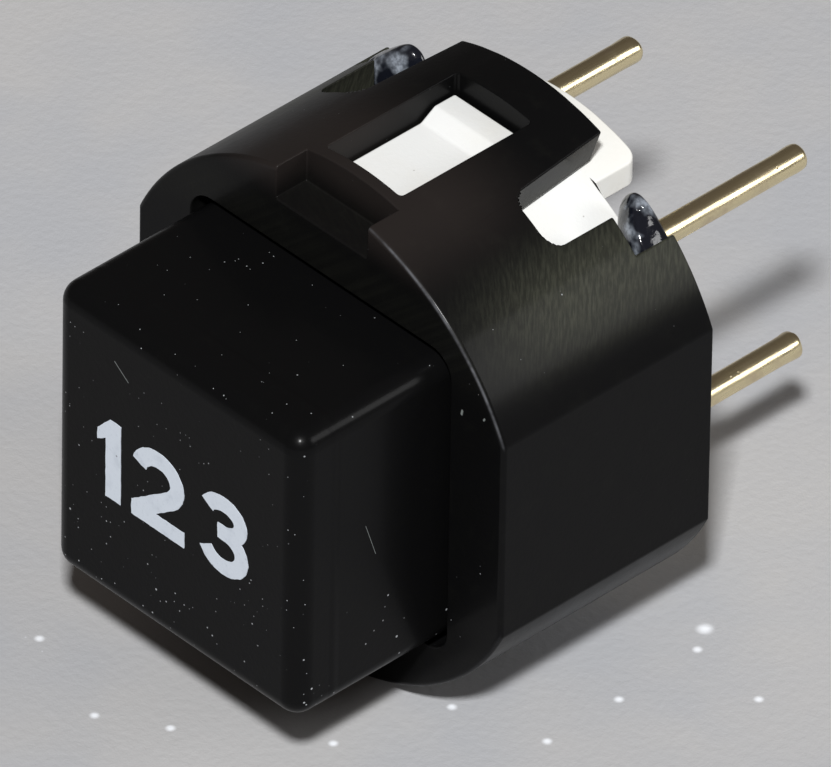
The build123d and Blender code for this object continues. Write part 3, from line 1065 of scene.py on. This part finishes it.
@dataclass
class ContactBase:
    """The white moulding behind: a floor with a rim, latch fingers and tongues."""

    setback: float = 0.25
    floor: float = 1.0
    rim_wall: float = 0.7
    rim_height: float = 1.75
    tongue_width: float = 4.4
    tongue_wall: float = 0.55
    tongue_corner: float = 0.3
    finger_half: float = 1.1
    finger_front: float = 1.3
    finger_rear: float = 4.9
    finger_top: float = 5.35
    finger_raised: float = 5.6
    finger_thick: float = 0.9
    catch: float = 0.6
    ramp: float = 0.4
    relief: float = 0.25
    spigot_radius: float = 0.8
    spigot_height: float = 0.8
    pin_spacing: float = 5.08
    pocket_width: float = 1.6
    pin_hole: float = 0.74
    edge: float = 0.05
    arc_steps: int = 60

    def build(self, finish: bpy.types.Material) -> bpy.types.Object:
        """Joins the floor, fingers and tongues, cuts the pockets and settles the base."""
        low, high = DATUM.box("contact_base")
        self.half_flat, self.tongue_rear = high.x, high.y
        self.rear = DATUM.box("housing_shell")[1].y - self.setback
        self.floor_front = self.rear - self.floor
        self.radius = 5.1
        rim = self.floor_front - self.rim_height
        plug = self._disc("plug", self.radius, self.half_flat, rim, self.rear)
        inside = self._disc("inside", self.radius - self.rim_wall, self.half_flat - self.rim_wall,
                            rim - 1, self.floor_front)
        gaps = rounded_box(2 * (self.finger_half + self.relief), 3 * self.radius, 0.1, 1)
        plug.use(Join.CUT, inside, Blank.drawn("relief", gaps, rim - 1, self.floor_front))
        peg = Blank.drawn("spigot", arc((0, 0), self.spigot_radius, 0, 345, 23),
                          self.floor_front - self.spigot_height, self.floor_front + 0.1)
        plug.use(Join.ADD, *self._fingers(), *self._tongues(), peg)
        plug.use(Join.CUT, *self._pockets())
        plug.tidy().round_edges(self.edge).shade()
        piece = Piece("base_moulding", Body.HOUSING, "base_white", finish, ("contact_base",))
        return piece.settle(plug)

    def _disc(self, name: str, radius: float, half_flat: float, front: float, rear: float) -> Blank:
        """A flatted disc with no point near the edges of what crosses it."""
        cuts = (self.finger_half, self.finger_half + self.relief, self.tongue_width / 2)
        return Blank.drawn(name, flatted_disc(radius, half_flat, self.arc_steps, cuts), front, rear)

    def _fingers(self) -> list[Blank]:
        """The latch fingers, above and below."""
        inner = self.finger_top - self.finger_thick
        half = inner + self.finger_thick / 2
        step = self.finger_rear - self.catch
        outline = [(self.rear - 0.1, inner), (self.finger_front, inner),
                   (self.finger_front, self.finger_top), (step - self.ramp, self.finger_top),
                   (step, self.finger_raised), (self.finger_rear, self.finger_raised),
                   (self.finger_rear, half), (self.rear - 0.1, half)]
        return [Blank.drawn("finger", mirrored(outline, False, down), -self.finger_half,
                            self.finger_half, Axis.ACROSS) for down in (False, True)]

    def _tongues(self) -> list[Blank]:
        """The curved tongues that stand on the board, above and below."""
        tongues = []
        for side in (1, -1):
            ring = self._disc("ring", self.radius, self.half_flat, self.rear - 0.2,
                              self.tongue_rear)
            inner = self.radius - self.tongue_wall
            bore = flatted_disc(inner, inner - 0.01, self.arc_steps, (self.tongue_width / 2,))
            ring.use(Join.CUT, Blank.drawn("bore", bore, 0, self.tongue_rear + 1))
            length = self.tongue_rear - self.rear + 1
            outline = rounded_box(self.tongue_width, length, self.tongue_corner, 6,
                                  (0, self.tongue_rear - length / 2))
            keep = Blank.drawn("keep", outline, 1.0 * side, 8.0 * side, Axis.UPRIGHT)
            tongues.append(ring.use(Join.KEEP, keep))
        return tongues

    def _pockets(self) -> list[Blank]:
        """The pockets of the contact strips in the rim, and the square holes of the four pins."""
        tools = []
        for side in (1, -1):
            x = side * self.pin_spacing / 2
            outline = rounded_box(self.pocket_width, self.pin_spacing + self.pocket_width,
                                  self.pocket_width * 0.499, 10, (x, 0))
            tools.append(Blank.drawn("pocket", outline, self.floor_front - self.rim_height - 1,
                                     self.floor_front))
            for z in (1, -1):
                centre = (x, z * self.pin_spacing / 2)
                hole = rounded_box(self.pin_hole, self.pin_hole, 0.04, 2, centre)
                tools.append(Blank.drawn("hole", hole, self.floor_front - 0.5, self.rear + 1))
        return tools


@dataclass
class TerminalPins:
    """The four round wire pins, cropped at their ends."""

    radius: float = 0.3
    head_radius: float = 0.6
    head: float = 0.18
    front: float = 4.6
    shank_width: float = 0.7
    shank_end: float = 6.05
    spacing: float = 5.08
    sides: int = 28
    seed: float = 5.0
    burr: float = 0.02

    def build(self, finish: bpy.types.Material) -> bpy.types.Object:
        """Turns one pin, and places it four times, each at its own turn."""
        rear = DATUM.box("terminal_pin_1")[1].y
        blank = self._pin(rear)
        graph = Graph("place_pins", {"Spacing": self.spacing, "Seed": self.seed, "Burr": self.burr})
        side = graph.value("Spacing")
        grid = graph.out("GeometryNodeMeshGrid", None,
                         {"Size X": side, "Size Y": side, "Vertices X": 2, "Vertices Y": 2})
        upright = graph.out("GeometryNodeTransform", None,
                            {"Geometry": grid, "Rotation": (math.pi / 2, 0, 0)})
        turn = graph.out("FunctionNodeRandomValue", {"data_type": "FLOAT"},
                         {2: 0.0, 3: 2 * math.pi, "Seed": 4}, 1)
        spin = graph.out("ShaderNodeCombineXYZ", None, {1: turn})
        placed = graph.out("GeometryNodeInstanceOnPoints", None,
                           {"Points": upright, "Instance": graph.mesh_in, "Rotation": spin})
        real = graph.out("GeometryNodeRealizeInstances", None, {"Geometry": placed})
        graph.finish(self._burred(graph, real, rear), finish)
        graph.run(blank)
        nodes = tuple(f"terminal_pin_{k}" for k in range(1, 5))
        return Piece("pins_wire", Body.HOUSING, "pin_brass", finish, nodes).settle(blank)

    def _pin(self, rear: float) -> Blank:
        """One pin on the barrel's axis: a head, a square shank and a round, cropped end."""
        shank = self._ring(self.shank_width / 2, self.shank_width / 2, True)
        body = self.shank_end + 0.001
        top, reach = self.front - self.head, self.head_radius
        profile = [(0.02, top), (reach - 0.03, top), (reach, top + 0.03), (reach, self.front)]
        rings = [self._ring(r, y) for r, y in profile]
        rings += [[(x, y, z) for x, _, z in shank] for y in (self.front, self.shank_end)]
        profile = [(self.radius, body), *[(self.radius, body + (rear - 0.5 - body) * k / 10)
                                          for k in range(1, 11)],
                   (self.radius * 1.03, rear - 0.26), (self.radius * 1.03, rear - 0.12),
                   (self.radius * 0.99, rear - 0.055), (self.radius * 0.86, rear - 0.012),
                   (self.radius * 0.60, rear), (0.02, rear)]
        return Blank.lofted("pin", rings + [self._ring(r, y) for r, y in profile])

    def _ring(self, radius: float, height: float, square: bool = False) -> list[Place]:
        """A round or square ring of points at a height on the barrel's axis."""
        ring = []
        for k in range(self.sides):
            angle = 2 * math.pi * k / self.sides
            x, z = math.cos(angle), math.sin(angle)
            reach = radius / max(abs(x), abs(z)) if square else radius
            ring.append((reach * x, height, reach * z))
        return ring

    def _burred(self, graph: Graph, geometry: Wire, rear: float) -> Wire:
        """Roughens the last half millimetre of each pin, where it was cropped."""
        place = graph.out("GeometryNodeInputPosition")
        height = graph.out("ShaderNodeSeparateXYZ", None, {0: place}, 1)
        texture = graph.out("ShaderNodeTexNoise", {"noise_dimensions": "4D"},
                            {"Scale": 3.4, "Detail": 2.0, "W": graph.value("Seed")}, 1)
        centred = graph.vector("SUBTRACT", texture, (0.5, 0.5, 0.5))
        size = height.rise(rear - 0.6, rear) * graph.value("Burr") * 5.0
        offset = graph.vector("SCALE", centred, size)
        return graph.move(geometry, graph.vector("MULTIPLY", offset, (1.0, 0.6, 1.0)))


@dataclass
class ReturnSpring:
    """The coil spring behind the button, built at its rest length."""

    wire_radius: float = 0.15
    coil_radius: float = 1.0
    turns: float = 7.0
    sides: int = 10
    steps_per_turn: int = 36

    def build(self, finish: bpy.types.Material) -> bpy.types.Object:
        """Winds the coil between its two seats."""
        low, high = DATUM.box("return_spring")
        run = high.y - low.y - 2 * self.wire_radius
        blank = Blank("coil", bpy.data.meshes.new("coil"))
        graph = Graph("wind_spring", {"Wire Radius": self.wire_radius,
                                      "Coil Radius": self.coil_radius, "Turns": self.turns,
                                      "Run": run})
        radius = graph.value("Coil Radius")
        spiral = graph.out("GeometryNodeCurveSpiral", None,
                           {"Resolution": self.steps_per_turn, "Rotations": graph.value("Turns"),
                            "Start Radius": radius, "End Radius": radius,
                            "Height": graph.value("Run")})
        ring = graph.out("GeometryNodeCurvePrimitiveCircle", {"mode": "RADIUS"},
                         {"Resolution": self.sides, "Radius": graph.value("Wire Radius")})
        wire = graph.out("GeometryNodeCurveToMesh", None,
                         {"Curve": spiral, "Profile Curve": ring, "Fill Caps": True})
        laid = graph.out("GeometryNodeTransform", None,
                         {"Geometry": wire, "Rotation": (-math.pi / 2, 0, 0),
                          "Translation": (0, low.y + self.wire_radius, 0)})
        graph.finish(laid, finish)
        graph.run(blank)
        piece = Piece("spring_coil", Body.HOUSING, "spring_steel", finish, ("return_spring",))
        coil = piece.settle(blank)
        seat = DATUM.matrix() @ Vector((0, high.y, 0))
        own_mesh(coil)
        return coil


@dataclass
class InnerParts:
    """The CAD nodes that show as they are, with their own finishes."""

    def dress(self, finishes: dict[str, bpy.types.Material]) -> None:
        """Gives each inner node its finish."""
        for name, finish in finishes.items():
            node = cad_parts[name]
            node.data.materials.clear()
            node.data.materials.append(finish)
            log.info("%s: CAD node dressed in %s", name, finish.name)


@dataclass
class Studio:
    """The floor, the lights and the camera."""

    azimuth: float = 0.8053
    elevation: float = 0.6676
    roll: float = 0.0168
    distance: float = 600.0
    shift: Point = (2.0555, 0.8135)
    focal_pixels: float = 28372.417
    image_width: int = 831
    floor_size: float = 6.0
    key_direction: tuple[float, float, float] = (0.44, -0.46, 0.77)
    sheen_direction: tuple[float, float, float] = (0.72, 0.54, 0.45)

    def build(self, sheet: bpy.types.Material) -> None:
        """Lays the floor, sets the lights and the camera."""
        self._floor(sheet)
        self._camera()
        self._light("key_light", self.key_direction, 0.90, 0.072, 9.6)
        self._light("sheen_light", self.sheen_direction, 0.60, 0.21, 0.75)
        self._world((0.098, 0.086, 0.078))
        bpy.context.scene.view_settings.view_transform = "Standard"

    def _floor(self, sheet: bpy.types.Material) -> None:
        """A wide pale sheet under the object."""
        shape = bmesh.new()
        bmesh.ops.create_grid(shape, x_segments=8, y_segments=8, size=self.floor_size / 2)
        floor = added("floor_sheet", closed(shape, bpy.data.meshes.new("floor_sheet")))
        floor.location.z = CAD_BOUNDS[0].z
        floor.data.materials.append(sheet)

    def _camera(self) -> None:
        """The camera at the photograph's place."""
        data = bpy.data.cameras.new("camera")
        camera = added("camera", data)
        a, e, r = self.azimuth, self.elevation, self.roll
        back = Vector((math.sin(a) * math.cos(e), -math.cos(a) * math.cos(e), math.sin(e)))
        right = Vector((0, 0, 1)).cross(back).normalized()
        up = back.cross(right)
        across = right * math.cos(r) + up * math.sin(r)
        upward = up * math.cos(r) - right * math.sin(r)
        eye = back * self.distance + across * self.shift[0] + upward * self.shift[1]
        place = DATUM.matrix() @ eye
        turn = Matrix((across, upward, back)).transposed().to_4x4()
        camera.matrix_world = Matrix.Translation(place) @ turn
        data.sensor_width = 36.0
        data.lens = self.focal_pixels / self.image_width * data.sensor_width
        data.clip_start, data.clip_end = 0.01, 20.0
        bpy.context.scene.camera = camera

    def _light(self, name: str, direction: Sequence[float], distance: float, size: float,
               power: float) -> None:
        """A square lamp that faces the object from a direction."""
        data = bpy.data.lights.new(name, "AREA")
        data.shape, data.size, data.energy = "SQUARE", size, power
        lamp = added(name, data)
        aim = Vector(direction).normalized()
        lamp.location = Vector((DATUM.x, DATUM.y, DATUM.z)) + aim * distance
        lamp.rotation_mode = "QUATERNION"
        lamp.rotation_quaternion = aim.to_track_quat("Z", "Y")

    def _world(self, colour: Colour) -> None:
        """An even, dim surround."""
        world = bpy.data.worlds.new("surround")
        world.use_nodes = True
        world.node_tree.nodes["Background"].inputs[0].default_value = (*colour, 1.0)
        bpy.context.scene.world = world


def main() -> None:
    """Builds each sub-assembly in order."""
    logging.basicConfig(level=logging.INFO, format="%(name)s: %(message)s")
    Studio().build(PaleSheet().make())
    cap_scratches_and_glint = (Stroke((-1.88, -4.15, 2.73), (-1.46, -4.15, 2.41)),
                   Stroke((3.8, -2.2, 0.6), (3.8, -1.9, -0.3), 0.009),
                   # A painted glint on the cap's top front right corner.
                   Stroke((3.62, -3.98, 3.60), (3.66, -3.90, 3.63), 0.05))
    nicks = (Stroke((4.36, 0.0, 2.76), (4.38, 0.0, 2.86), 0.045),
             Stroke((5.03, 0.0, 2.98), (5.06, 0.0, 3.03), 0.035))
    # The shell's olive tint paints a sheen on its upper shoulders, and its rim setting paints a
    # highlight along the front rim.
    shell_black = BlackMoulding("shell_satin", haze_and_sheen=(0.050, 0.052, 0.038), roughness=0.40,
                                brush_and_sheen_strength=0.85, dust=0.06, rim=6.2, strokes=nicks).make()
    cap_black = BlackMoulding("cap_satin", roughness=0.33, dust=0.24, sink=1.08,
                              strokes=cap_scratches_and_glint).make()
    HousingShell().build(shell_black)
    MeltedStakes().build(MeltedPlastic().make())
    KeyCap().build(cap_black)
    Legend().build(PadPrint().make())
    ContactBase().build(WhiteMoulding().make())
    brass = DrawnMetal("wire_brass", (0.84, 0.73, 0.46), (0.60, 0.49, 0.34)).make()
    TerminalPins().build(brass)
    steel = DrawnMetal("spring_wire", (0.62, 0.62, 0.60), (0.40, 0.39, 0.37)).make()
    ReturnSpring().build(steel)
    bronze = DrawnMetal("contact_bronze", (0.72, 0.50, 0.30), (0.48, 0.32, 0.19),
                        streak=(0.6, 6.0, 6.0)).make()
    strip = DrawnMetal("strip_brass", (0.80, 0.66, 0.36), (0.52, 0.40, 0.22),
                       streak=(6.0, 6.0, 0.6)).make()
    plunger = BlackMoulding("plunger_satin", roughness=0.45, dust=0.03).make()
    InnerParts().dress({"plunger": plunger, "contact_bridge": bronze,
                        "contact_strip_left": strip, "contact_strip_right": strip})


if __name__ == "__main__":
    main()
